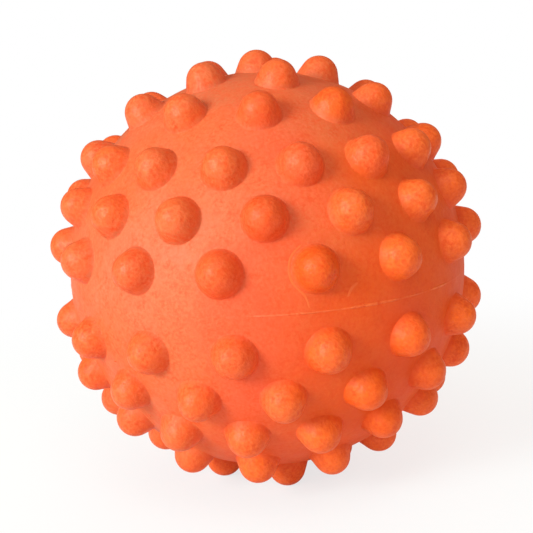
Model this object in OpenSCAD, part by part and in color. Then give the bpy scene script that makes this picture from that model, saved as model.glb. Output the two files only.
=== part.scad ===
// Sensory ball: two alike rubber half shells with blunt nubs, joined round the middle, with a valve at the
// lower pole. Millimetres, +Z up through both poles, with the origin under the ball where it stands.
// The parting line lies level. The half under it is the upper moulding turned over and turned round a little.

/* [Ball] */
// Outside diameter of the ball between its nubs
ball_d = 90; // [70:1:110]
// Thickness of the rubber wall
wall_t = 2.5; // [1.8:0.1:3.5]

/* [Nubs] */
// Diameter of a nub where it leaves the ball
nub_base_d = 9.8; // [8.6:0.2:11.4]
// Radius of a nub's round end
nub_end_r = 4.2; // [3.2:0.1:4.3]
// Height of a nub above the ball
nub_h = 5; // [3.5:0.1:6.5]

/* [Nub rings] */
// Nubs in each of the three wide rings
wide_ring_n = 15; // [10:1:16]
// Nubs in the ring above them
high_ring_n = 10; // [6:1:11]
// Nubs in the small ring round the pole
pole_ring_n = 5; // [3:1:6]
// Angle of the first wide ring above the parting line
first_ring_lat = 10.5; // [9.5:0.5:12]
// Angle of the second wide ring above the parting line
second_ring_lat = 23.7; // [22.5:0.3:25.2]
// Angle of the third wide ring above the parting line
third_ring_lat = 37.3; // [36:0.3:39]
// Angle of the ring above the wide ones
high_ring_lat = 55; // [53:0.5:57]
// Angle of the small ring round the pole
pole_ring_lat = 72.3; // [71:0.3:74]
// Turn of the lower half against the upper one
half_turn = 26.5; // [0:0.5:72]

/* [Joint between the halves] */
// Height of the cured strip between the two rims
bond_t = 0.4; // [0.2:0.1:0.8]
// How far the strip stands out of the ball as a fine ridge
bond_proud = 0.2; // [0.1:0.05:0.4]
// How much thicker the wall is on the land inside each rim
land_t = 2; // [1.2:0.1:3]
// Height of the land
land_h = 6; // [4:0.5:9]
// Thickness of the tongue on the lower rim
tongue_t = 1.5; // [1:0.1:2]
// Height of the tongue above the lower rim
tongue_h = 2.5; // [1.5:0.1:3.5]
// Gap left for cement round the tongue
cement_gap = 0.1; // [0.05:0.05:0.2]

/* [Valve] */
// Diameter of the passage for an inflating needle
needle_d = 2; // [1.6:0.1:2.4]
// Diameter of the cone that leads the needle in
lead_in_d = 4; // [3:0.2:5]
// Depth of the cone
lead_in_h = 1.2; // [0.8:0.1:2]
// Diameter of the plug's stem
stem_d = 6.6; // [6:0.2:8]
// Solid rubber that closes the inner end of the passage
plug_lip_t = 2.5; // [1.5:0.1:4]
// Depth of the plug's outer end under the surface of the ball
plug_recess = 0.4; // [0.2:0.1:0.8]
// Diameter of the flange that holds the plug in
flange_d = 9.6; // [8.6:0.2:12]
// Thickness of the flange
flange_t = 1.6; // [1:0.1:2.5]
// Diameter of the patch that is cured to the inner wall
patch_d = 24; // [18:1:30]
// Thickness of the patch
patch_t = 1.6; // [1.2:0.1:2.5]
// Diameter of the sleeve that grips the stem
sleeve_d = 12; // [10:0.5:14]
// Height of the sleeve over the patch
sleeve_h = 3.6; // [2:0.2:6]

/* [Hidden] */
$fa = 4;
$fs = 0.5;
// Steps round the sphere under the patch, which is thin enough for coarse ones to show
fine_fn = 240;

rubber = "tomato";
overrun = 1;
ball_r = ball_d / 2;
inner_r = ball_r - wall_t;

// A nub's skirt starts inside the wall, and its slope takes it a little way into the round end, so that the
// two surfaces cross instead of only touching.
root_r = ball_r - wall_t / 2;
nub_base_r = nub_base_d / 2;
nub_base_z = sqrt(pow(ball_r, 2) - pow(nub_base_r, 2));
nub_end_z = ball_r + nub_h - nub_end_r;
crossing_share = 0.97;
base_to_end = norm([nub_base_r, nub_end_z - nub_base_z]);
skirt_rise = asin(crossing_share * nub_end_r / base_to_end) + atan2(nub_end_z - nub_base_z, nub_base_r);
skirt_top_z = nub_end_z + crossing_share * nub_end_r * cos(skirt_rise);
function skirt_r(z) = nub_base_r - (z - nub_base_z) / tan(skirt_rise);

// Each ring is its angle above the parting line, its number of nubs and the angle of its first nub.
wide_step = 360 / wide_ring_n;
high_step = 360 / high_ring_n;
rings = [
  [first_ring_lat, wide_ring_n, wide_step / 2],
  [second_ring_lat, wide_ring_n, 0],
  [third_ring_lat, wide_ring_n, wide_step / 2],
  [high_ring_lat, high_ring_n, 0],
  [pole_ring_lat, pole_ring_n, high_step / 2]
];

// The ball stands on the small ring of the lower half, where the pole has no nub.
stand_h = nub_end_z * sin(pole_ring_lat) + nub_end_r;

rim_z = bond_t / 2;
rim_inner_r = inner_r - land_t;
tongue_outer_r = rim_inner_r + tongue_t;
rebate_r = tongue_outer_r + cement_gap;

// The valve goes up from the lower pole: wall, patch, sleeve, and the flange that rests on the sleeve.
patch_floor_z = -sqrt(pow(inner_r, 2) - pow(patch_d / 2, 2));
patch_top_z = patch_floor_z + patch_t;
flange_z = patch_top_z + sleeve_h;
plug_top_z = flange_z + flange_t;
plug_end_z = -sqrt(pow(ball_r, 2) - pow(stem_d / 2, 2)) + plug_recess;
passage_h = plug_top_z - plug_lip_t - plug_end_z;

// One nub standing on the ball along +Z.
module nub() {
  translate([0, 0, nub_end_z]) sphere(r = nub_end_r);
  translate([0, 0, root_r])
    cylinder(h = skirt_top_z - root_r, r1 = skirt_r(root_r), r2 = skirt_r(skirt_top_z));
}

// A point's place on the ball: up by its latitude, and round from the front towards +X by its longitude.
module at_place(lat, lon) {
  rotate([0, 0, lon]) rotate([90 - lat, 0, 0]) children();
}

module nub_rings() {
  for (ring = rings)
    for (i = [0:ring[1] - 1])
      at_place(ring[0], ring[2] + i * 360 / ring[1]) nub();
}

// A solid half ball that stands on its rim, with no hollow yet.
module half_ball() {
  intersection() {
    sphere(r = ball_r);
    translate([0, 0, rim_z]) cylinder(h = ball_r, r = ball_r + overrun);
  }
}

// The hollow of a half, which narrows at the rim to leave a thicker land there, and reaches down past the rim.
module half_hollow() {
  land_z = rim_z + land_h;
  intersection() {
    sphere(r = inner_r);
    translate([0, 0, land_z]) cylinder(h = ball_r, r = ball_r);
  }
  translate([0, 0, -rim_z - tongue_h - overrun])
    cylinder(h = rim_z + tongue_h + land_z + 2 * overrun, r = rim_inner_r);
}

// Lifts a piece from the centre of the ball to where the ball stands on its lowest nubs.
module stood_up() {
  translate([0, 0, stand_h]) children();
}

// Makes a piece of the upper half into one of the lower half.
module turn_over() {
  rotate([0, 0, half_turn]) rotate([0, 180, 0]) children();
}

module upper_half_shell() {
  color(rubber) difference() {
    union() {
      half_ball();
      nub_rings();
      at_place(90, 0) nub();
    }
    half_hollow();
    // Rebate that takes the tongue of the lower rim
    cylinder(h = rim_z + tongue_h + cement_gap, r = rebate_r);
  }
}

// Shaped as an upper half, then turned over, so its tongue points down past the parting line at first.
module lower_half_shell() {
  color(rubber) turn_over() difference() {
    union() {
      half_ball();
      nub_rings();
      translate([0, 0, -rim_z - tongue_h]) cylinder(h = 2 * rim_z + tongue_h + overrun, r = tongue_outer_r);
    }
    half_hollow();
    // Hole for the stem of the valve plug at the pole
    translate([0, 0, inner_r - overrun]) cylinder(h = wall_t + 2 * overrun, d = stem_d);
  }
}

module seam_bond() {
  color(rubber) translate([0, 0, -rim_z]) difference() {
    cylinder(h = bond_t, r = ball_r + bond_proud);
    translate([0, 0, -overrun]) cylinder(h = bond_t + 2 * overrun, r = tongue_outer_r);
  }
}

module valve_plug() {
  color(rubber) difference() {
    union() {
      translate([0, 0, plug_end_z]) cylinder(h = plug_top_z - plug_end_z, d = stem_d);
      translate([0, 0, flange_z]) cylinder(h = flange_t, d = flange_d);
    }
    translate([0, 0, plug_end_z - overrun]) cylinder(h = passage_h + overrun, d = needle_d);
    translate([0, 0, plug_end_z]) cylinder(h = lead_in_h, d1 = lead_in_d, d2 = needle_d);
  }
}

// The patch follows the inside of the wall, and its sleeve reaches up to the flange of the plug.
module valve_seat() {
  color(rubber) difference() {
    union() {
      intersection() {
        sphere(r = inner_r, $fn = fine_fn);
        translate([0, 0, -ball_r]) cylinder(h = ball_r + patch_top_z, d = patch_d);
      }
      translate([0, 0, patch_floor_z]) cylinder(h = flange_z - patch_floor_z, d = sleeve_d);
    }
    translate([0, 0, -ball_r]) cylinder(h = ball_r, d = stem_d);
  }
}

stood_up() upper_half_shell();
stood_up() lower_half_shell();
stood_up() seam_bond();
stood_up() valve_plug();
stood_up() valve_seat();
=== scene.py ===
# %% [markdown]
# # A nubbed sensory ball
# This lesson dresses the CAD model of a soft rubber ball. The real one is moulded as two half shells that
# are joined round the middle, and blunt nubs stand all over it for small hands to hold and feel. The CAD
# model holds the true sizes, so it is loaded first and never moved, and each new piece is made where a CAD
# piece lies.

# %% Load the CAD model
import math
import random
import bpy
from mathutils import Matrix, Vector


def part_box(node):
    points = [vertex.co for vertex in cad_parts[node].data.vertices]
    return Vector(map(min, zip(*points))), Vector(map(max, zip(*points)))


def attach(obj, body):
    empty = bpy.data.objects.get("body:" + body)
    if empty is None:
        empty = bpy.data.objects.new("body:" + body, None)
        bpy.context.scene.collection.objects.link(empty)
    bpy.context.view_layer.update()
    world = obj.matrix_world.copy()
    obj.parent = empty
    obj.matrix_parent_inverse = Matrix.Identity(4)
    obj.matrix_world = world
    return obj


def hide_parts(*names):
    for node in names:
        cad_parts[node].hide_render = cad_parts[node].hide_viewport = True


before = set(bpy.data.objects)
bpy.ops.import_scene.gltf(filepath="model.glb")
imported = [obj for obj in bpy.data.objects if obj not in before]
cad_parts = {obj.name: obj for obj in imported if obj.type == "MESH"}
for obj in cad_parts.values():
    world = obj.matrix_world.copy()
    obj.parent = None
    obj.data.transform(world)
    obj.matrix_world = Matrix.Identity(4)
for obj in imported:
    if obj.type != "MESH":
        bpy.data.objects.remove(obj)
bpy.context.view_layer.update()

from types import SimpleNamespace

import bmesh
import bpy
import numpy as np
from mathutils import Matrix, Vector, noise
from mathutils.geometry import delaunay_2d_cdt

print("CAD pieces:", ", ".join(sorted(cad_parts)))

# %% [markdown]
# ## Sizes
# Everything here is in metres, and the sizes are the CAD model's own. Where a CAD piece can be measured it
# is: the ring between the two halves gives the ball's middle and its parting line, and the plug gives the
# valve.

# %% Measure the ball and its valve
MM = 0.001
ring_low, ring_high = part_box("seam_bond")
plug_low, plug_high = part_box("valve_plug")
CENTRE = (ring_low + ring_high) / 2
RIM_Z = (ring_high.z - ring_low.z) / 2
RIDGE_R = (ring_high.x - ring_low.x) / 2
FLANGE_R = (plug_high.x - plug_low.x) / 2
BALL_R = 45 * MM
WALL = 2.5 * MM
INNER_R = BALL_R - WALL
STEM_R = 3.3 * MM
print(f"centre {CENTRE.z / MM:.3f} mm up, rims {2 * RIM_Z / MM:.2f} mm apart")
print(f"ridge radius {RIDGE_R / MM:.2f} mm, flange radius {FLANGE_R / MM:.2f} mm")

# %% [markdown]
# ## Where the nubs are
# One mould makes both halves: three rings of fifteen nubs climb from the joint, then a ring of ten, a ring
# of five, and one nub at the top. The lower half is the same moulding turned over and turned round a
# little, and its pole has the valve in place of a nub. Each nub could be placed by hand, but a ring needs
# only three numbers: its degrees above the joint, how many nubs it has, and the degrees from the front to
# the first of them.

# %% Lay out the nubs of one moulding
NUB_RINGS = [(10.5, 15, 12.0), (23.7, 15, 0.0), (37.3, 15, 12.0), (55.0, 10, 0.0), (72.3, 5, 18.0)]
HALF_TURN = 26.5
POLE = np.array([0, 0, 1.0])


def on_ball(up, around):
    """The direction so many degrees up from the ball's middle, and so many round from the front to +X."""
    up, around = math.radians(up), math.radians(around)
    return np.array([math.cos(up) * math.sin(around), -math.cos(up) * math.cos(around), math.sin(up)])


nub_places = [(up, first + i * 360 / count) for up, count, first in NUB_RINGS for i in range(count)]
turned_over = np.array(Matrix.Rotation(math.radians(HALF_TURN), 3, "Z") @ Matrix.Rotation(math.pi, 3, "Y"))
print(len(nub_places), "nubs on each half, and one more on the upper pole")

# %% [markdown]
# ## The shape of a nub
# Seen from the side a nub is a full round dome on a short steep skirt, with a small fillet where it meets
# the ball. A lathe or a sphere set into a cone would do for one. Here the outline is a list of points from
# the tip down to the ball, which can be swept round as rings of a mesh, so the nub and the ball become one
# skin with no cut edges. Some nubs keep a faint raised line round the foot, where the insert that formed
# them met the mould: the lip leaves room for it, and the apron beyond stays level.

# %% Draw the outline of a nub
NUB_BASE_R = 4.9 * MM
NUB_END_R = 4.2 * MM
NUB_H = 5 * MM
FOOT = 0.14 * MM
LIP_W = 0.4 * MM
APRON = 0.35 * MM
DOME_STEPS = 8


def on_surface(distance):
    """The point of the ball's own outline at that distance from the axis."""
    return distance, math.sqrt(BALL_R ** 2 - distance ** 2)


def nub_outline(swell=1.0, rise=1.0):
    """(distance from the axis, height over the ball's centre), from beside the tip out to the ball."""
    end_r, base_r = NUB_END_R * swell, NUB_BASE_R * swell
    end_z = BALL_R + NUB_H * rise - end_r
    corner = np.array(on_surface(base_r))
    down = corner - [0, end_z]
    leave = math.atan2(down[0], down[1]) - math.acos(end_r / np.hypot(*down))
    turns = np.linspace(0, leave, DOME_STEPS + 1)[1:]
    dome = [(end_r * math.sin(a), end_z + end_r * math.cos(a)) for a in turns]
    skirt_end = np.array(dome[-1])
    slope = (skirt_end - corner) / np.hypot(*(skirt_end - corner))
    foot_top, foot_out = corner + slope * FOOT, np.array(on_surface(base_r + FOOT))
    skirt = [skirt_end + (foot_top - skirt_end) * t for t in (0.35, 0.7, 1)]
    fillet = [(1 - t) ** 2 * foot_top + 2 * t * (1 - t) * corner + t * t * foot_out
              for t in (0.25, 0.5, 0.75, 1)]
    lip = [on_surface(foot_out[0] + LIP_W * share) for share in (0.4, 0.7, 1)]
    return np.array([*dome, *skirt, *fillet, *lip, on_surface(foot_out[0] + LIP_W + APRON)])


MID_LIP_RING = len(nub_outline()) - 3
print(f"nub outline of {len(nub_outline())} points, {2 * nub_outline()[-1][0] / MM:.1f} mm across")

# %% [markdown]
# ## Rings of points
# Each outline becomes rings of points round its axis. Hand-finished moulds and soft rubber never give two
# nubs quite alike, so a set of rings may lean or be a little oval. Points on the ball itself stay where
# they are, and only what stands above it is moved, in step with its height.

# %% Sweep an outline round its place on the ball
SPOKES = 40
LIP_FADE = 1.5


def across(axis):
    """Two directions square to an axis and to each other."""
    side = np.cross([0, 0, 1], axis) if abs(axis[2]) < 0.9 else np.cross([1, 0, 0], axis)
    side = side / np.linalg.norm(side)
    return side, np.cross(axis, side)


def swept(axis, outline, spokes=SPOKES, oval=0.0, oval_turn=0.0, lean=(0, 0), lip=0.0, lip_span=None):
    """Rings of points round the axis. lip raises a line at the foot over lip_span, (middle, half width)."""
    side, up = across(axis)
    turn = np.arange(spokes) * math.tau / spokes
    stretch = 1 + oval * np.cos(2 * (turn - oval_turn))
    out = np.cos(turn)[:, None] * side + np.sin(turn)[:, None] * up
    height = np.clip((outline[:, 1] - BALL_R) / NUB_H, 0, 1)
    rings = []
    for i, (distance, z) in enumerate(outline):
        ring = axis * z + out * distance * (stretch[:, None] if height[i] > 0 else 1.0)
        ring = ring + height[i] * (side * lean[0] + up * lean[1])
        if i == MID_LIP_RING and lip:
            off = np.abs((turn - lip_span[0] + math.pi) % math.tau - math.pi) / lip_span[1]
            ring = ring + axis * (lip * np.clip(LIP_FADE * (1 - off), 0, 1))[:, None]
        rings.append(ring)
    return np.array(rings)


print("a plain nub at the pole has rings and points", swept(POLE, nub_outline()).shape[:2])

# %% [markdown]
# ## The skin between the nubs
# Between the nubs the ball is filled with evenly spread points on a sunflower spiral, and the whole half is
# then joined into triangles. A flat triangulation does this exactly, because the stereographic projection
# turns every circle on a sphere into a circle on paper, and good triangles are defined by their circles.
# Inside a nub's outer ring the triangles are thrown away, and the nub's own rings are joined by four-sided
# faces instead.

# %% Triangulate the ball round its nubs
SKIN_STEP = 1.15 * MM
CLEARANCE = 0.6 * SKIN_STEP
RIM_POINTS = 144
SAME_POINT = 1e-9


def spiral_points(patches):
    """Points spread over a half ball, clear of its rim and of every patch, given as (axis, radius)."""
    count = int(math.tau * BALL_R ** 2 / SKIN_STEP ** 2)
    i = np.arange(count)
    z = 1 - (i + 0.5) / count
    golden_turn = i * math.pi * (3 - math.sqrt(5))
    level_r = np.sqrt(1 - z * z)
    spread = np.column_stack([level_r * np.cos(golden_turn), level_r * np.sin(golden_turn), z])
    axes = np.array([axis for axis, _ in patches])
    clear = np.array([math.asin(radius / BALL_R) + CLEARANCE / BALL_R for _, radius in patches])
    keep = (spread @ axes.T < np.cos(clear)).all(axis=1) & (z * BALL_R > RIM_Z + CLEARANCE)
    return spread[keep] * BALL_R


def joined_flat(points, ring_of):
    """Triangles over a half ball's points, without those that lie inside one patch's outer ring."""
    flat = points[:, :2] / (BALL_R + points[:, 2:])
    out = delaunay_2d_cdt([Vector(p) for p in flat], [], [], 0, SAME_POINT)
    faces = []
    for face in out[2]:
        corners = [out[3][v][0] for v in face]
        rings = {ring_of[c] for c in corners}
        if len(rings) > 1 or -1 in rings:
            faces.append(corners)
    return faces


nub_feet = [(on_ball(*place), nub_outline()[-1][0]) for place in nub_places]
print(len(spiral_points(nub_feet)), "points fit between the nubs of one half")

# %% [markdown]
# ## The inside of a half
# The inside can't be seen, but a piece is a solid thing: it gets its wall, the thicker land inside its rim,
# and the step or tongue that meets the other half. All of that is round about the pole, so it is turned
# from an outline that starts at the rim's outer edge.

# %% Outline the inside of each half
LAND_R = INNER_R - 2 * MM
LAND_Z = RIM_Z + 6 * MM
TONGUE_R = LAND_R + 1.5 * MM
TONGUE_H = 2.5 * MM
CEMENT_GAP = 0.1 * MM
VAULT_RINGS = 22
LAST_VAULT_RING_UP = 87


def inner_outline(lower):
    """(distance from the axis, height) from the rim round the joint and up the inner wall to the pole."""
    if lower:
        joint = [(TONGUE_R, RIM_Z), (TONGUE_R, -RIM_Z - TONGUE_H), (LAND_R, -RIM_Z - TONGUE_H)]
    else:
        step_z = RIM_Z + TONGUE_H + CEMENT_GAP
        joint = [(TONGUE_R + CEMENT_GAP, RIM_Z), (TONGUE_R + CEMENT_GAP, step_z), (LAND_R, step_z)]
    start = math.asin(LAND_Z / INNER_R)
    end = math.acos(STEM_R / INNER_R) if lower else math.radians(LAST_VAULT_RING_UP)
    vault = [(INNER_R * math.cos(a), INNER_R * math.sin(a)) for a in np.linspace(start, end, VAULT_RINGS)]
    return [*joint, (LAND_R, LAND_Z), *vault]


print(f"wall {WALL / MM:.1f} mm, land {(INNER_R - LAND_R) / MM:.1f} mm more, tongue {TONGUE_H / MM:.1f} mm")

# %% [markdown]
# ## An uneven skin
# Soft rubber cures with a slight unevenness. A displacement modifier with a texture could give it, but a
# few lines of smooth noise keep it in the mesh itself. The hollows only go inwards, which keeps the ball
# inside its true size, and they leave a nub's tip alone.

# %% Let the outer skin sink
HOLLOW_DEPTH = 0.07 * MM
BROAD_WAVES, BROAD_SHARE = 4.2, 0.7
NARROW_WAVES, NARROW_SHARE = 13, 0.3
ELSEWHERE = Vector((7, 3, 1))


def hollowed(points):
    """Lets the outer skin sink a little, in some places more than in others, but a nub's tip not at all."""
    moved = []
    for p in points:
        out = Vector(p).length
        along = Vector(p) / out
        wave = BROAD_SHARE * noise.noise(along * BROAD_WAVES)
        wave += NARROW_SHARE * noise.noise(along * NARROW_WAVES + ELSEWHERE)
        left = 1 - max(0.0, out - BALL_R) / NUB_H
        moved.append(p - np.array(along) * HOLLOW_DEPTH * (0.5 + 0.5 * wave) * left)
    return np.array(moved)


sunk = [BALL_R - np.linalg.norm(p) for p in hollowed([on_ball(*place) * BALL_R for place in nub_places])]
print(f"under the nubs the skin sinks by {min(sunk) / MM:.3f} to {max(sunk) / MM:.3f} mm")

# %% [markdown]
# ## Each nub a little different
# On the real ball some nubs are a touch wider, lower or more tilted than the next. Each takes its own
# chances from one seeded run, so they come out the same every time. The variation only makes a nub lower,
# because the CAD model holds the largest size, and the ring that the ball stands on is left plain, so that
# it stands level. A few small pimples, 0.3 mm high, show where bubbles were in the mould. They are made as
# nubs are.

# %% Make the rings of a nub and of a pimple
SWELL, RISE, OVAL = (0.97, 1.015), (0.93, 0.985), (0, 0.02)
LEAN = 0.12 * MM
LIP_H_MM, LIP_REACH = (-0.06, 0.03), (0.6, 1.6)
PIMPLE_R = 0.45 * MM
PIMPLE_H = 0.3 * MM
PIMPLE_STEPS, PIMPLE_SPOKES = 6, 12


def nub(axis, luck, plain=False):
    """The axis, rings and tip of one nub. A plain one takes its chances too, but keeps its full size."""
    swell, rise = luck.uniform(*SWELL), luck.uniform(*RISE)
    lean = np.array([luck.uniform(-1, 1), luck.uniform(-1, 1)]) * LEAN
    oval, oval_turn = luck.uniform(*OVAL), luck.uniform(0, math.pi)
    if plain:
        swell, rise, lean, oval = 1.0, 1.0, lean * 0, 0.0
    lip, lip_span = luck.uniform(*LIP_H_MM) * MM, (luck.uniform(0, math.tau), luck.uniform(*LIP_REACH))
    rings = swept(axis, nub_outline(swell, rise), SPOKES, oval, oval_turn, lean, max(lip, 0), lip_span)
    side, up = across(axis)
    return axis, rings, axis * (BALL_R + NUB_H * rise) + side * lean[0] + up * lean[1]


def pimple(axis):
    """The axis, rings and tip of a small blister on the ball."""
    outline = []
    for turn in np.linspace(0, math.pi, PIMPLE_STEPS + 1)[1:]:
        distance, z = on_surface(PIMPLE_R * turn / math.pi)
        outline.append((distance, z + PIMPLE_H * (1 + math.cos(turn)) / 2))
    return axis, swept(axis, np.array(outline), PIMPLE_SPOKES), axis * (BALL_R + PIMPLE_H)


print("a nub gets a share of its width from", SWELL, "and of its height from", RISE)

# %% [markdown]
# ## The mouth of the valve
# At the lower pole a round hole takes the plug, and its edge is softened as moulded rubber's is. A bevel
# could round it afterwards. Here the rounding is part of the outline that is swept round the pole.

# %% Make the rings of the valve's mouth
MOUTH_EDGE, MOUTH_STEPS = 0.3 * MM, 5
MOUTH_APRONS = (0.5 * MM, 1.2 * MM)


def rounded(corner_r, corner_z, r_way, z_way, edge, steps):
    """A rounded corner, from the side that comes along the axis to the side that goes across it."""
    return [(corner_r - r_way * edge * (1 - math.cos(a)), corner_z - z_way * edge * (1 - math.sin(a)))
            for a in np.linspace(0, math.pi / 2, steps)]


def valve_mouth():
    """The pole and the rings of the hole's outer edge, which has no tip."""
    edge_r, edge_z = on_surface(STEM_R + MOUTH_EDGE)
    outline = rounded(STEM_R, edge_z, -1, 1, MOUTH_EDGE, MOUTH_STEPS)
    outline += [on_surface(edge_r + apron) for apron in MOUTH_APRONS]
    return POLE, swept(POLE, np.array(outline), RIM_POINTS), None


print(f"the mouth is {2 * STEM_R / MM:.1f} mm wide inside an edge of {MOUTH_EDGE / MM:.1f} mm")

# %% [markdown]
# ## Joining rings
# Most of this ball is rings of points with faces between them, and three helpers make them all: a level
# ring, a band of four-sided faces between two rings, and a fan from one point to a ring. They give only the
# numbers of the points, and the last step of each piece turns the faces outwards.

# %% Join rings of points by faces
def level_ring(radius, z, count):
    """A ring of points round the ball's own axis."""
    turn = np.arange(count) * math.tau / count
    return np.column_stack([radius * np.cos(turn), radius * np.sin(turn), np.full(count, z)])


def band(first, second, count, shift=0):
    """Four-sided faces between two rings, by their first points. shift starts the second ring further on."""
    return [(first + j, second + (j + shift) % count,
             second + (j + 1 + shift) % count, first + (j + 1) % count) for j in range(count)]


def fan(tip, ring, count):
    """Triangles from one point to a ring."""
    return [(tip, ring + j, ring + (j + 1) % count) for j in range(count)]


print("two rings of four points join as", band(0, 4, 4))

# %% [markdown]
# ## The outside of a half
# Now the parts come together as one skin: the rim, the points of the spiral, the nubs' outer rings with the
# triangles between them all, and then each nub's own rings up to its tip.

# %% Join the outside of a half
def half_patches(lower, luck, pimples):
    """(axis, rings, tip) of each nub and pimple of a half, and of the valve's mouth in the lower one."""
    patches = []
    for up, around in nub_places if lower else [*nub_places, (90.0, 0.0)]:
        patches.append(nub(on_ball(up, around), luck, plain=lower and up == NUB_RINGS[-1][0]))
    patches += [pimple(on_ball(*place)) for place in pimples]
    return [*patches, valve_mouth()] if lower else patches


def outer_skin(patches):
    """The points and faces of a half's outside, and where the valve's mouth starts, if there is one."""
    rim = level_ring(math.sqrt(BALL_R ** 2 - RIM_Z ** 2), RIM_Z, RIM_POINTS)
    outer_rings = [rings[-1] for _, rings, _ in patches]
    feet = [(axis, np.linalg.norm(np.cross(axis, rings[-1][0]))) for axis, rings, _ in patches]
    spread = spiral_points(feet)
    points = [rim, spread, *outer_rings]
    ring_of = [-1] * (len(rim) + len(spread)) + [i for i, ring in enumerate(outer_rings) for _ in ring]
    faces = joined_flat(np.concatenate(points), ring_of)

    outermost, total, mouth = len(rim) + len(spread), len(ring_of), None
    for _, rings, tip in patches:
        spokes = len(rings[-1])
        starts = [total + i * spokes for i in range(len(rings) - 1)] + [outermost]
        for inner, outer in zip(starts, starts[1:]):
            faces += band(inner, outer, spokes)
        points += list(rings[:-1])
        total += spokes * (len(rings) - 1)
        outermost += spokes
        if tip is None:
            mouth = starts[0]
        else:
            faces += fan(total, starts[0], spokes)
            points.append(tip[None])
            total += 1
    return np.concatenate(points), faces, mouth


print(len(half_patches(False, random.Random(0), ())), "patches cover the upper half")

# %% [markdown]
# ## A closed piece
# Every piece ends the same way. Its faces are turned outwards, its open edges and volume are printed, so
# that a hole would show at once, and it is shaded smooth except over sharp edges. A subdivision modifier
# would soften it too, but these meshes are fine enough already.

# %% Close a piece
SHARP_FROM = 50
MM3 = 1e-9


def solid(name, points, faces, sharp=SHARP_FROM):
    """A closed, smooth-shaded mesh object with its faces outwards. Edges over sharp degrees stay crisp."""
    mesh = bpy.data.meshes.new(name)
    mesh.from_pydata([tuple(p) for p in points], [], faces)
    work = bmesh.new()
    work.from_mesh(mesh)
    bmesh.ops.recalc_face_normals(work, faces=work.faces)
    if work.calc_volume(signed=True) < 0:
        bmesh.ops.reverse_faces(work, faces=work.faces)
    open_edges = sum(not e.is_manifold for e in work.edges)
    print(f"{name}: {len(work.verts)} points, {len(work.faces)} faces, {open_edges} open edges, "
          f"{work.calc_volume() / MM3:.0f} mm3")
    work.to_mesh(mesh)
    work.free()
    mesh.shade_smooth()
    mesh.set_sharp_from_angle(angle=math.radians(sharp))
    return placed(name, mesh)


def placed(name, data):
    """Puts a mesh, lamp or camera in the scene as an object of that name."""
    thing = bpy.data.objects.new(name, data)
    bpy.context.scene.collection.objects.link(thing)
    return thing


# %% [markdown]
# ## Both halves
# The same function makes both halves, each with its own run of chance: the outside, then the inside ring by
# ring from the rim to the pole. The lower one ends at the valve's mouth, whose rings start a quarter turn
# earlier, so the last band is shifted by as much. Two pimples that show low on the left are placed one by
# one.

# %% Make the two halves
PIMPLE_PLACES = [(15.5, 75.3), (34.4, 72.4)]


def rubber_half(name, lower, seed, pimples=()):
    """Makes one half as a closed mesh, with its pole up, then sets it in its place on the ball."""
    outside, faces, mouth = outer_skin(half_patches(lower, random.Random(seed), pimples))
    inside, last, total = [], 0, len(outside)
    for distance, z in inner_outline(lower):
        inside.append(level_ring(distance, z, RIM_POINTS))
        faces += band(last, total, RIM_POINTS)
        last, total = total, total + RIM_POINTS
    if lower:
        faces += band(last, mouth, RIM_POINTS, shift=RIM_POINTS // 4)
    else:
        inside.append(INNER_R * POLE[None])
        faces += fan(total, last, RIM_POINTS)
    inside = np.concatenate(inside)
    if lower:
        outside, inside = outside @ turned_over.T, inside @ turned_over.T
    return solid(name, np.concatenate([hollowed(outside), inside]) + np.array(CENTRE), faces)


upper_rubber = rubber_half("upper_half_rubber", False, 11)
lower_rubber = rubber_half("lower_half_rubber", True, 23, PIMPLE_PLACES)

# %% [markdown]
# ## The joint line
# Where the halves meet, a little rubber squeezed out and cured. Trimming left it flush with the ball nearly
# all round, and as a hair-thin crest in a few stretches, each given here by its middle and half width in
# degrees and its share of the full crest. A curve with a bevel could lie on the joint, but it couldn't sink
# into it and die away. So it is one closed ring of cross-sections that fills the gap between the rims and
# follows the ball's own hollows.

# %% Shape the crest round the joint
PROUD_STRETCHES = [
    (4, 12, 0.6), (16, 7, 0.42), (27, 9, 1.0), (40, 6, 0.4), (51, 5, 0.95), (97, 14, 0.7), (141, 10, 0.5),
    (188, 16, 0.8), (235, 12, 0.6), (279, 12, 0.8)]
STRETCH_FADE = 2.2
FLUSH_HALF_W = 0.17 * MM
CREST_HALF_W = 0.38 * MM
CREST_H = (RIDGE_R - BALL_R) / 2
CREST_FOOT = 0.02 * MM
GROOVE = 0.01 * MM
SET_IN = 0.2 * MM
RAGGED_WAVES = 28


def crest_share(around):
    """How much of the crest is left at that many degrees from the front, from 0 to 1."""
    best = 0.0
    for middle, half_width, share in PROUD_STRETCHES:
        off = abs((around - middle + 180) % 360 - 180) / half_width
        best = max(best, share * min(1.0, max(0.0, STRETCH_FADE * (1 - off))))
    return best


def strip_section(around):
    """The strip's cross-section at that many degrees from the front: up outside, then down inside."""
    along = on_ball(0, around)
    ragged = 0.5 + 0.5 * noise.noise(Vector(along) * RAGGED_WAVES)
    share = crest_share(around)
    proud = CREST_H * share * (0.55 + 0.45 * ragged)
    half_w = FLUSH_HALF_W + (CREST_HALF_W - FLUSH_HALF_W) * share * (0.4 + 0.6 * ragged)
    foot = -share * CREST_FOOT
    profile = [(-GROOVE, -RIM_Z), (foot, -half_w), (0.8 * proud, -0.6 * half_w), (proud, 0),
               (0.8 * proud, 0.6 * half_w), (foot, half_w), (-GROOVE, RIM_Z)]
    outer = [along * (on_surface(abs(z))[1] + out) + [0, 0, z] for out, z in profile]
    inner = [along * (TONGUE_R + SET_IN) + [0, 0, z] for z in (RIM_Z, -RIM_Z)]
    return np.concatenate([hollowed(np.array(outer)), inner])


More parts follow.
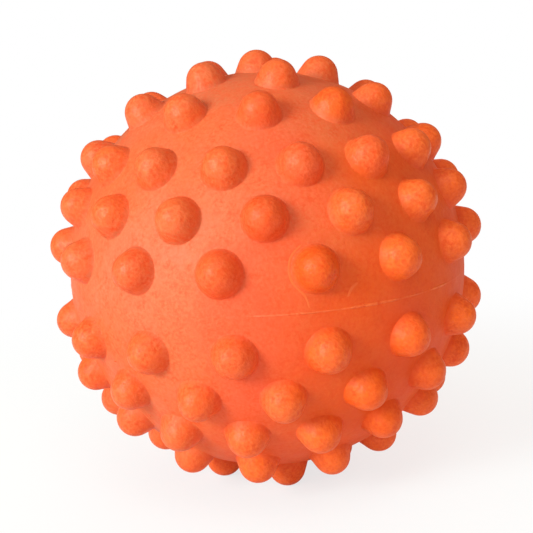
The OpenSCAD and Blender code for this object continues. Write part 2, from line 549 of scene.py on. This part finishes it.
proud_degrees = sum(crest_share(degree) > 0 for degree in range(360))
print(f"the crest stands {CREST_H / MM:.2f} mm proud at most, over {proud_degrees} degrees of the joint")

# %% [markdown]
# A row of cross-sections becomes a tube by bands of faces between neighbours. The strip's tube meets
# itself, and one that doesn't gets a face over each end.

# %% Make the strip
STRIP_POINTS = 8 * RIM_POINTS
STRIP_SHARP_FROM = 70


def tube(sections, closed):
    """The points and faces of a row of cross-sections with equally many points."""
    steps, last = len(sections[0]), len(sections) - 1
    faces = [face for i in range(last) for face in band(i * steps, (i + 1) * steps, steps)]
    if closed:
        faces += band(last * steps, 0, steps)
    else:
        faces += [tuple(range(steps)), tuple(last * steps + j for j in reversed(range(steps)))]
    return np.concatenate(sections), faces


strip_sections = [strip_section(i * 360 / STRIP_POINTS) for i in range(STRIP_POINTS)]
strip_points, strip_faces = tube(strip_sections, closed=True)
ridge = solid("joint_strip", strip_points + np.array(CENTRE), strip_faces, STRIP_SHARP_FROM)

# %% [markdown]
# ## Fine mould lines
# Two more hair-thin lines show from the front. One follows the foot of a nub beside the middle and trails
# away below it, where the insert that formed the nub met the mould, and a short one bends to its right.
# Each is a low bead of rubber: a few places on the ball, their corners cut until the path is smooth, and a
# small closed section carried along it that dies away at both ends.

# %% Lay the mould lines
FOOT_LINE = [(16.8, 9.0), (14.4, 6.0), (11.3, 5.1), (8.0, 5.6), (5.8, 7.5), (3.8, 9.2), (1.2, 9.7)]
SHORT_LINE = [(6.0, 22.6), (5.0, 20.8), (2.9, 19.7)]
CUTS = 3
LINE_HALF_W = 0.28 * MM
LINE_H = 0.028 * MM
LINE_FOOT = 0.005 * MM
LINE_FADE = 0.4


def smooth_path(places):
    """Cuts the corners of a path of places a few times over, and gives it as directions."""
    path = np.array(places, dtype=float)
    for _ in range(CUTS):
        first, second = path[:-1], path[1:]
        cut = np.stack([0.75 * first + 0.25 * second, 0.25 * first + 0.75 * second], axis=1).reshape(-1, 2)
        path = np.concatenate([path[:1], cut, path[-1:]])
    return np.array([on_ball(up, around) for up, around in path])


def bead(places):
    """The points and faces of one closed bead along a path on the ball."""
    path = smooth_path(places)
    sections = []
    for i, along in enumerate(path):
        ahead = path[min(i + 1, len(path) - 1)] - path[max(i - 1, 0)]
        side = np.cross(along, ahead / np.linalg.norm(ahead))
        left = math.sin(math.pi * (i + 0.5) / len(path)) ** LINE_FADE
        high = LINE_H * left
        profile = [(-1, -LINE_FOOT), (-0.5, 0.8 * high), (0, high), (0.5, 0.8 * high), (1, -LINE_FOOT)]
        sections.append([along * (BALL_R + out) + side * LINE_HALF_W * left * way for way, out in profile])
    points, faces = tube(sections, closed=False)
    return hollowed(points), faces


foot_points, foot_faces = bead(FOOT_LINE)
short_points, short_faces = bead(SHORT_LINE)
short_faces = [tuple(v + len(foot_points) for v in face) for face in short_faces]
line_points = np.concatenate([foot_points, short_points]) + np.array(CENTRE)
mould_lines = solid("mould_lines", line_points, foot_faces + short_faces)

# %% [markdown]
# ## The valve
# The plug that takes the inflating needle sits in the lower pole, a little under the surface. It is turned
# on the pole's axis like a real rubber grommet: a cone leads the needle into a blind passage, the outer
# edge is rounded, and the flange inside keeps it from being pushed out.

# %% Turn the valve plug
TURNED_POINTS = 96
NEEDLE_R = 1 * MM
LEAD_R = 2 * MM
LEAD_H = 1.2 * MM
LIP_T = 2.5 * MM
FLANGE_T = 1.6 * MM
PLUG_EDGE, PLUG_STEPS = 0.25 * MM, 4
CREASE = 0.1 * MM


def turned(name, outline):
    """Turns an outline that starts and ends on the axis about the ball's own axis."""
    rings = [level_ring(distance, z, TURNED_POINTS) for distance, z in outline[1:-1]]
    starts = [1 + i * TURNED_POINTS for i in range(len(rings))]
    end = 1 + len(rings) * TURNED_POINTS
    faces = fan(0, starts[0], TURNED_POINTS)
    for ring, following in zip(starts, starts[1:]):
        faces += band(ring, following, TURNED_POINTS)
    faces += fan(end, starts[-1], TURNED_POINTS)
    ends = [np.array([[0, 0, z]]) for z in (outline[0][1], outline[-1][1])]
    return solid(name, np.concatenate([ends[0], *rings, ends[1]]), faces)


blind_z, cone_z, flange_z = plug_high.z - LIP_T, plug_low.z + LEAD_H, plug_high.z - FLANGE_T
plug = turned("valve_plug_rubber", [
    (0, blind_z), (NEEDLE_R, blind_z), (NEEDLE_R, cone_z + CREASE),
    (NEEDLE_R + 0.8 * CREASE, cone_z - CREASE), (LEAD_R - CREASE, plug_low.z + CREASE),
    (LEAD_R + CREASE, plug_low.z),
    *reversed(rounded(STEM_R, plug_low.z, 1, -1, PLUG_EDGE, PLUG_STEPS)), (STEM_R, flange_z),
    *reversed(rounded(FLANGE_R, flange_z, 1, -1, PLUG_EDGE, PLUG_STEPS)),
    *rounded(FLANGE_R, plug_high.z, 1, 1, PLUG_EDGE, PLUG_STEPS), (0, plug_high.z)])

# %% [markdown]
# ## Say what rides where
# A ball has no moving parts, so every piece rides on the one body. Each new piece says which CAD piece it
# stands for, and which of the record's material slots it takes its finish from. The mould lines stand for
# none, and the patch inside keeps its CAD shape.

# %% Ride the pieces and hide what they replace
RIDES = [
    (upper_rubber, "upper_half_shell", "shell_rubber"), (lower_rubber, "lower_half_shell", "shell_rubber"),
    (ridge, "seam_bond", "bond_rubber"), (plug, "valve_plug", "valve_rubber"),
    (mould_lines, None, "shell_rubber")]
for piece, stands_for, slot in RIDES:
    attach(piece, "root")
    if stands_for:
        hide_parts(stands_for)
    print(piece.name, "stands for", stands_for, "in", slot)

# %% [markdown]
# ## Shader maths as expressions
# A material is a graph of nodes, but a pattern reads best as a sum. The class below wraps one socket, so
# that `0.5 + 0.2 * noise` makes the Math nodes for it. Colours would turn grey in a Math node, so they are
# mixed by their own node.

# %% A socket that works like a number
class Shade:
    """One output of a node. It adds, subtracts and multiplies with numbers and with other outputs."""

    def __init__(self, socket):
        self.socket = socket

    def maths(self, operation, first, second):
        """A Math node on two values."""
        return node(self.socket.id_data, "Math", {"operation": operation}, [first, second])

    def __add__(self, other):
        return self.maths("ADD", self, other)

    def __radd__(self, other):
        return self.maths("ADD", other, self)

    def __sub__(self, other):
        return self.maths("SUBTRACT", self, other)

    def __rsub__(self, other):
        return self.maths("SUBTRACT", other, self)

    def __mul__(self, other):
        return self.maths("MULTIPLY", self, other)

    def __rmul__(self, other):
        return self.maths("MULTIPLY", other, self)


# %% [markdown]
# ## One way to add a node
# Every other node comes from one function, which takes the node's type, its settings and what goes into its
# sockets. Nodes could be added one line at a time, as a script recorded from the shader editor would, but
# then a material's recipe drowns in wiring. Three short helpers stand for the nodes used most.

# %% Add nodes, mix colours and stretch values
def node(tree, kind, settings=None, inputs=None, output=None):
    """Adds a node: its settings first, then its sockets, by name or in order. Gives back one output."""
    made = tree.nodes.new("ShaderNode" + kind)
    for name, value in (settings or {}).items():
        setattr(made, name, value)
    open_sockets = [s for s in made.inputs if s.enabled]
    pairs = inputs.items() if isinstance(inputs, dict) else enumerate(inputs or [])
    for name, value in pairs:
        named = [s for s in open_sockets if s.name == name]
        socket = named[0] if named else open_sockets[name]
        if isinstance(value, Shade):
            tree.links.new(value.socket, socket)
        else:
            socket.default_value = value
    outs = [s for s in made.outputs if s.enabled]
    return Shade(outs[0] if output is None else next(s for s in outs if s.name == output))


def colour_between(tree, share, first, second):
    """A colour that goes from the first to the second as share goes from 0 to 1."""
    return node(tree, "Mix", {"data_type": "RGBA"}, {"Factor": share, "A": first, "B": second}, "Result")


def stretched(tree, value, low, high, smooth=False):
    """The value made 0 at low and 1 at high, and held there beyond them. smooth eases it in and out."""
    settings = {"interpolation_type": "SMOOTHSTEP"} if smooth else None
    return node(tree, "MapRange", settings, {"Value": value, "From Min": low, "From Max": high})


def fresh_material(name):
    """An empty material, with its node tree and its output node."""
    material = bpy.data.materials.new(name)
    material.use_nodes = True
    material.node_tree.nodes.clear()
    return material, material.node_tree, material.node_tree.nodes.new("ShaderNodeOutputMaterial")


# %% [markdown]
# ## Places and noises on the ball
# Moulded rubber is coloured right through and has a soft, dull skin, but close up it isn't even. A picture
# of a real ball wrapped round this one could give its looks. Here they are noise and distances on the
# object itself, so they stay put from any side and at any size. How far a point lies from the ball's centre
# tells the nubs from the ball. How far it lies along one direction tells the side towards the side lamp,
# which gets a painted sheen, from the side away from it, which gets painted light and painted shade.

# %% Read where a point lies, and the noises there
# The side towards the side lamp gets a painted sheen. On the side away from it the nubs get painted light
# and the skin between them painted shade.
PAINTED_SHEEN_SIDE = Vector((-0.88, 0, 0.48))
PAINTED_SHEEN_FROM, PAINTED_SHEEN_TO = -0.6 * BALL_R, 0.7 * BALL_R
AWAY_FROM, AWAY_TO = 0.1 * BALL_R, -0.3 * BALL_R
NOISE_LOW, NOISE_HIGH = 0.35, 0.65


def distance_to(tree, place, point):
    """How far the shaded place is from a point, in metres."""
    return node(tree, "VectorMath", {"operation": "DISTANCE"}, [place, tuple(point)], "Value")


def speckle(tree, place, size_mm, detail=2.0, rough=0.5):
    """Noise with features of that size, stretched to fill 0 to 1."""
    inputs = {"Vector": place, "Scale": 1 / (size_mm * MM), "Detail": detail, "Roughness": rough}
    return stretched(tree, node(tree, "TexNoise", None, inputs), NOISE_LOW, NOISE_HIGH)


def read_ball(tree, raised_mm):
    """The place, where the nubs and the two sides are, from 0 to 1, and the noises from broad to fine."""
    place = node(tree, "TexCoord", output="Object")
    sideways = node(tree, "VectorMath", {"operation": "DOT_PRODUCT"}, [place, tuple(PAINTED_SHEEN_SIDE)], "Value")
    middle = CENTRE.dot(PAINTED_SHEEN_SIDE)
    nub_from, nub_to = BALL_R + raised_mm[0] * MM, BALL_R + raised_mm[1] * MM
    return SimpleNamespace(
        place=place,
        nub=stretched(tree, distance_to(tree, place, CENTRE), nub_from, nub_to, smooth=True),
        painted_sheen=stretched(tree, sideways, middle + PAINTED_SHEEN_FROM, middle + PAINTED_SHEEN_TO),
        away=stretched(tree, sideways, middle + AWAY_FROM, middle + AWAY_TO),
        clouds=speckle(tree, place, 16), mottle=speckle(tree, place, 5, 3, 0.6),
        blotches=speckle(tree, place, 3.2, 4, 0.6), dents=speckle(tree, place, 3, 3),
        grain=speckle(tree, place, 0.7, 3, 0.6), specks=speckle(tree, place, 0.5))


# The paler side is a painted sheen where the side lamp falls.
print(f"the faded side comes in over {(PAINTED_SHEEN_TO - PAINTED_SHEEN_FROM) / MM:.1f} mm, from the right to the left")

# %% [markdown]
# ## The rubber's colours
# The colour clouds between orange and a pinker salmon, and the nubs are a shade more orange than the ball.
# The side towards the side lamp is painted paler and pinker, as a painted sheen. On the side away from it
# the nubs are painted a brighter orange, which is painted light, and the skin between them browner, which is
# painted shade. A few broad patches are rosier, browner or more amber, and some nubs have a tone of their
# own. Those are placed one by one, by degrees up and round from the front.

# %% Name the colours
BALL_ORANGE = (0.87, 0.087, 0.006, 1)
SALMON = (0.84, 0.155, 0.031, 1)
NUB_ORANGE = (0.94, 0.124, 0.0105, 1)
# Painted light: the nubs on the side away from the side lamp are mixed towards this brighter orange.
PAINTED_LIGHT_NUB = (1.0, 0.165, 0.014, 1)
# Painted shade: the skin between the nubs on the side away from the side lamp is mixed towards this brown.
PAINTED_SHADE_UMBER = (0.68, 0.05, 0.003, 1)
DEEP_ORANGE = (0.74, 0.05, 0.004, 1)
PALE = (0.84, 0.14, 0.067, 1)
# The pale, pinker colour of the painted sheen on the side towards the side lamp
PAINTED_SHEEN = (0.54, 0.152, 0.072, 1)
LINE_PALE = (0.95, 0.38, 0.19, 1)
FAINT_PALE = (0.82, 0.125, 0.03, 1)
ROSY = (0.8, 0.07, 0.03, 1)
PINK = (0.84, 0.1, 0.055, 1)
TERRACOTTA = (0.74, 0.05, 0.003, 1)
AMBER = (0.8, 0.1, 0.001, 1)
HONEY = (0.76, 0.078, 0.001, 1)
SHEEN = (1.0, 0.95, 0.9, 1)
# Place, reach in millimetres, colour and share of each patch
PATCHES = [
    ((14, -2), 12, ROSY, 0.45), ((28, 9), 10, ROSY, 0.25), ((-6, 9), 14, TERRACOTTA, 0.4),
    # The terracotta patch at (-24, 36), low on the right, is partly a browner tone and partly painted shade.
    ((-24, 36), 14, TERRACOTTA, 0.55), ((-6, -8), 14, PINK, 0.35), ((2, 34), 18, AMBER, 0.45),
    # The pale patch at (3, -28) is a painted highlight, where the side lamp's sheen falls on the left.
    ((34, 36), 12, AMBER, 0.45), ((-28, 26), 16, AMBER, 0.65), ((3, -28), 12, PALE, 0.3),
    ((-5, 36), 8, ROSY, 0.3), ((22, 50), 14, SALMON, 0.5), ((0, 53), 9, AMBER, 0.5),
    ((-25, -8), 9, PINK, 0.35), ((46, 5), 10, PINK, 0.25)]
# Place of the nub, its colour and its share
NUB_TONES = [
    ((10.5, 12), HONEY, 0.65), ((23.7, 0), TERRACOTTA, 0.35), ((55, 0), TERRACOTTA, 0.3),
    ((55, 36), AMBER, 0.6), ((37.3, 12), PINK, 0.25), ((37.3, 36), PINK, 0.25),
    ((10.5, -12), TERRACOTTA, 0.2), ((10.5, -36), TERRACOTTA, 0.2)]
print(len(PATCHES), "patches and", len(NUB_TONES), "nubs with a tone of their own")

# %% [markdown]
# ## Mixing the colours
# Each step of the mix leads from the colour so far towards another by a share, which the noises and the
# places on the ball decide. A colour ramp could hold a few of these colours, but no single ramp could let
# a patch, a nub and a noise each have its say.

# %% Mix the colours over the ball
PATCH_FADE = (1.4, 0.3)
PATCH_RAGGED = 0.25
TONE_FADE = (7 * MM, 4 * MM)
TONE_CENTRE = BALL_R + 0.7 * NUB_H
LESS_ON_NUB = 0.4


def patch_share(tree, ball, place, reach, share):
    """How much of a patch's colour a point takes: less the further it lies, with a ragged edge."""
    apart = distance_to(tree, ball.place, CENTRE + Vector(on_ball(*place)) * BALL_R)
    ragged = apart + PATCH_RAGGED * reach * ball.clouds
    near = stretched(tree, ragged, PATCH_FADE[0] * reach, PATCH_FADE[1] * reach, smooth=True)
    return share * near * (1 - LESS_ON_NUB * ball.nub)


def tone_share(tree, ball, place, share):
    """How much of a nub's own tone a point takes."""
    apart = distance_to(tree, ball.place, CENTRE + Vector(on_ball(*place)) * TONE_CENTRE)
    return share * stretched(tree, apart, *TONE_FADE) * ball.nub


def mixed_colour(tree, ball, look, cloud, patches, tones):
    """The colour all over a rubber piece. look names its colours, and cloud scales how much it varies."""
    unevenness = 0.3 * ball.clouds + 0.25 * ball.blotches + 0.4 * ball.mottle - 0.1 * ball.nub
    steps = [
        # The nubs are more orange than the ball, and on the side away from the side lamp they are painted
        # brighter, as painted light
        (0.75 * ball.nub, look["nub"]),
        (0.65 * cloud * ball.away * ball.nub, PAINTED_LIGHT_NUB),
        # Clouds, blotches and mottling, all over
        (cloud * unevenness, look["cloudy"]),
        # A painted sheen on the side towards the side lamp, less on its nubs, and pale specks all over
        (0.58 * cloud * ball.painted_sheen * (0.6 + 0.8 * ball.clouds) * (1 - LESS_ON_NUB * ball.nub), PAINTED_SHEEN),
        (0.35 * cloud * ball.specks * (1 - 0.15 * ball.nub), look["pale"])]
    for place, reach_mm, patch, share in patches:
        steps.append((patch_share(tree, ball, place, reach_mm * MM, share * cloud), patch))
    for place, tone, share in tones:
        steps.append((tone_share(tree, ball, place, share), tone))
    steps += [
        # Painted shade on the skin between the nubs away from the side lamp, and dark grain all over
        (0.22 * cloud * ball.away * (1 - ball.nub), PAINTED_SHADE_UMBER),
        (0.65 * cloud * (1 - ball.grain) * (0.4 + 0.6 * ball.blotches) * (1 + 0.3 * ball.nub), look["deep"])]
    colour = look["base"]
    for share, towards in steps:
        colour = colour_between(tree, share, colour, towards)
    return colour


print(f"a patch is full up to {PATCH_FADE[1]:.0%} of its reach and gone at {PATCH_FADE[0]:.0%}")

# %% [markdown]
# ## The rubber
# The finish is matte, a little shinier on the nubs, which hands have rubbed. A fine grain in the bump
# breaks up every highlight, stronger on the nubs than between them. Real rubber lets a trace of light in
# under its skin, but a full, bright colour gives the same glow here without the long render.

# %% Make a rubber
def rubber(name, look, roughness=0.5, grain_mm=0.16, cloud=1.0, raised_mm=(0.1, 1.4), patches=(), tones=()):
    """A matte rubber. look names its colours, and raised_mm says how far out a nub begins and is full."""
    material, tree, out = fresh_material(name)
    ball = read_ball(tree, raised_mm)
    bump_height = (0.25 * ball.grain + 0.75 * ball.dents) * (0.4 + 0.6 * ball.nub)
    bumps = node(tree, "Bump", None, {"Strength": 1.0, "Distance": grain_mm * MM, "Height": bump_height})
    surface = node(tree, "BsdfPrincipled", None, {
        "Base Color": mixed_colour(tree, ball, look, cloud, patches, tones),
        "Roughness": roughness + 0.1 * ball.blotches - 0.12 * ball.nub,
        "Normal": bumps, "IOR": 1.5, "Specular IOR Level": 0.2, "Specular Tint": SHEEN})
    tree.links.new(surface.socket, out.inputs["Surface"])
    print(name, "of", len(tree.nodes), "nodes")
    return material


# %% [markdown]
# The ball's own rubber has it all. The strip at the joint is the same rubber, with a paler crest that
# begins a hair under the ball's surface. The mould lines are only a little paler than the ball, and the
# plug and the patch inside are a darker rubber of another batch.

# %% Make the five rubbers
SHELL = {"base": BALL_ORANGE, "cloudy": SALMON, "nub": NUB_ORANGE, "deep": DEEP_ORANGE, "pale": PALE}
BOND = {**SHELL, "nub": LINE_PALE}
LINE = {"base": FAINT_PALE, "cloudy": FAINT_PALE, "nub": FAINT_PALE, "deep": NUB_ORANGE, "pale": FAINT_PALE}
VALVE = {"base": (0.66, 0.08, 0.012, 1), "cloudy": (0.7, 0.12, 0.03, 1), "nub": BALL_ORANGE,
         "deep": (0.55, 0.05, 0.008, 1), "pale": PALE}
PATCH = {"base": (0.6, 0.09, 0.02, 1), "cloudy": (0.64, 0.12, 0.04, 1), "nub": BALL_ORANGE,
         "deep": (0.5, 0.06, 0.012, 1), "pale": PALE}

shell_rubber = rubber("shell_rubber", SHELL, patches=PATCHES, tones=NUB_TONES)
bond_rubber = rubber("bond_rubber", BOND, raised_mm=(-0.04, 0.02), patches=PATCHES)
line_rubber = rubber("line_rubber", LINE, cloud=0.5)
valve_rubber = rubber("valve_rubber", VALVE, roughness=0.45, grain_mm=0.04)
patch_rubber = rubber("patch_rubber", PATCH, roughness=0.7, grain_mm=0.12)

# %% [markdown]
# The new pieces take their material as their only one. The patch is the CAD's own piece, which is never
# changed, but its slots may hold a better material.

# %% Give each piece its rubber
for piece, material in [(upper_rubber, shell_rubber), (lower_rubber, shell_rubber), (ridge, bond_rubber),
                        (mould_lines, line_rubber), (plug, valve_rubber)]:
    piece.data.materials.append(material)
    print(piece.name, "is", material.name)
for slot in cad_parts["valve_seat"].material_slots:
    slot.material = patch_rubber

# %% [markdown]
# ## Floor
# The ball stands on a plain white table top: a flat round mesh with finer rings near the ball. A plane
# would do for a single view, but a round one has no corner that could show from another.

# %% Lay the table top
TABLE_RINGS = (0.05, 0.12, 0.3, 0.8, 3.0)
TABLE_SPOKES = 64


def table_top():
    """A flat round top about the ball's axis, with its upper side up."""
    rings = [level_ring(radius, 0, TABLE_SPOKES) for radius in TABLE_RINGS]
    starts = [1 + i * TABLE_SPOKES for i in range(len(rings))]
    faces = fan(0, starts[0], TABLE_SPOKES)
    for inner, outer in zip(starts, starts[1:]):
        faces += band(inner, outer, TABLE_SPOKES)
    mesh = bpy.data.meshes.new("table_top")
    mesh.from_pydata([tuple(p) for p in np.concatenate([[(0, 0, 0)], *rings])], [], faces)
    return placed("table_top", mesh)


floor = table_top()
print(f"table top {2 * TABLE_RINGS[-1]:.0f} m across, of {len(floor.data.polygons)} faces")

# %% [markdown]
# For the camera the table is lifted most of the way to pure white, as a studio sweep is, and the shadow
# still shows on it. Light Path's Is Camera Ray does that without more light on the ball. Seen from below
# the table lets the view through, so that the valve can be looked at.

# %% Make the table white
TABLE_GREY = (0.86, 0.86, 0.86, 1)
WHITE = (1, 1, 1, 1)
TABLE_LIFT = 0.75
SHADOW_FROM, SHADOW_TO = 0.06, 0.2


def table_white():
    """A white that is lifted for the camera, least where the ball's shadow lies, and clear from below."""
    material, tree, out = fresh_material("table_white")
    seen = node(tree, "LightPath", output="Is Camera Ray")
    paper = node(tree, "BsdfDiffuse", None, {"Color": TABLE_GREY})
    white = node(tree, "Emission", None, {"Color": WHITE, "Strength": 1.0})
    place = node(tree, "TexCoord", output="Object")
    apart = node(tree, "VectorMath", {"operation": "LENGTH"}, [place], "Value")
    lift = TABLE_LIFT + (1 - TABLE_LIFT) * stretched(tree, apart, SHADOW_FROM, SHADOW_TO, smooth=True)
    lifted = node(tree, "MixShader", None, [lift * seen, paper, white])
    under = node(tree, "NewGeometry", output="Backfacing")
    both = node(tree, "MixShader", None, [under, lifted, node(tree, "BsdfTransparent")])
    tree.links.new(both.socket, out.inputs["Surface"])
    return material


floor.data.materials.append(table_white())
print(f"lifted by {TABLE_LIFT:.0%} under the ball and by all of it from {SHADOW_TO:.1f} m out")

# %% [markdown]
# ## Lamps
# One soft lamp stands to the left, a little above and in front of the ball: it gives each nub its bright
# left side and its soft shadow on the right. A weaker one from above lights the top, and a wide one behind
# the ball lights its back, which the camera doesn't see. Matte rubber turns milky at its edges where it
# mirrors a lamp behind it, so that one gives no reflection.

# %% Set up the lamps
COOL = (0.75, 1.0, 1.0)
WARM = (1.0, 0.95, 0.85)


def soft_lamp(name, up, around, distance, size, power, tint):
    """A square lamp that stands in a direction from the ball's centre and faces it."""
    lamp = bpy.data.lights.new(name, "AREA")
    lamp.shape, lamp.size, lamp.energy, lamp.color = "SQUARE", size, power, tint
    holder = placed(name, lamp)
    way = Vector(on_ball(up, around)).normalized()
    holder.location = CENTRE + way * distance
    holder.rotation_euler = (-way).to_track_quat("-Z", "Y").to_euler()
    print(f"{name}: {power} W, {size} m wide, {distance} m away")
    return holder


soft_lamp("side_lamp", up=22, around=-47, distance=0.8, size=0.28, power=6.8, tint=COOL)
soft_lamp("top_lamp", up=58, around=5, distance=0.8, size=0.36, power=1.4, tint=COOL)
back_lamp = soft_lamp("back_lamp", up=14, around=158, distance=1.1, size=1.0, power=7.0, tint=WARM)
back_lamp.visible_glossy = False

# %% [markdown]
# ## The room
# The rest of the light is a bright room that keeps the shadows open, a little dimmer and warmer on the
# right. A picture of a real studio could light it, but two levels and two tints are enough for a plain one.
# The room is dimmer for reflections, for the same reason as the lamp behind gives none, and the camera sees
# it as white.

# %% Light the room
ROOM_RIGHT, ROOM_LEFT = 0.44, 0.6
RIGHT_TINT, LEFT_TINT = (1.15, 0.9, 0.7, 1), (1.1, 0.96, 0.9, 1)
LIGHT_SIDE = (-0.8, -0.6, 0)
MIRRORED = 0.15

room = bpy.data.worlds.new("studio")
room.use_nodes = True
tree = room.node_tree
tree.nodes.clear()
seen = node(tree, "LightPath", output="Is Camera Ray")
mirrored = node(tree, "LightPath", output="Is Glossy Ray")
ray = node(tree, "TexCoord", output="Generated")
to_light = node(tree, "VectorMath", {"operation": "DOT_PRODUCT"}, [ray, LIGHT_SIDE], "Value")
leftward = stretched(tree, to_light, -1, 1)
level = (ROOM_RIGHT + (ROOM_LEFT - ROOM_RIGHT) * leftward) * (1 - (1 - MIRRORED) * mirrored)
tint = colour_between(tree, seen, colour_between(tree, leftward, RIGHT_TINT, LEFT_TINT), WHITE)
sky = node(tree, "Background", None, {"Color": tint, "Strength": level + (1 - level) * seen})
tree.links.new(sky.socket, tree.nodes.new("ShaderNodeOutputWorld").inputs["Surface"])
bpy.context.scene.world = room
bpy.context.scene.view_settings.view_transform = "Standard"
print(f"room {ROOM_RIGHT:.2f} to {ROOM_LEFT:.2f} of white from right to left, {MIRRORED:.0%} of it mirrored")

# %% [markdown]
# ## Camera
# The camera looks at the ball's centre from the front and a little above the joint line, and it is turned
# about its own axis by three degrees, which is why the top of the ball leans to the left.

# %% Place the camera
IMAGE_SIDE = 533
SENSOR_W = 36.0
CAMERA_UP = 11.73
CAMERA_ROLL = -3.10
CAMERA_DISTANCE = 5.305 * BALL_R
FOCAL_PIXELS = 1027.0
CENTRE_PIXEL = (267.4, 267.7)

camera_data = bpy.data.cameras.new("camera")
camera_data.sensor_width = SENSOR_W
camera_data.lens = SENSOR_W * FOCAL_PIXELS / IMAGE_SIDE
camera_data.shift_x = (IMAGE_SIDE / 2 - CENTRE_PIXEL[0]) / IMAGE_SIDE
camera_data.shift_y = (CENTRE_PIXEL[1] - IMAGE_SIDE / 2) / IMAGE_SIDE
camera_data.clip_start, camera_data.clip_end = 0.01, 20
camera = placed("camera", camera_data)
towards_camera = Vector(on_ball(CAMERA_UP, 0))
camera.location = CENTRE + towards_camera * CAMERA_DISTANCE
level_view = (-towards_camera).to_track_quat("-Z", "Y").to_matrix()
camera.rotation_euler = (level_view @ Matrix.Rotation(math.radians(CAMERA_ROLL), 3, "Z")).to_euler()
bpy.context.scene.camera = camera
print(f"camera {CAMERA_DISTANCE:.3f} m away, lens {camera_data.lens:.1f} mm")

# %% [markdown]
# ## Finish
# The dressed ball may not be larger than the CAD model.

# %% Finish
bpy.context.view_layer.update()
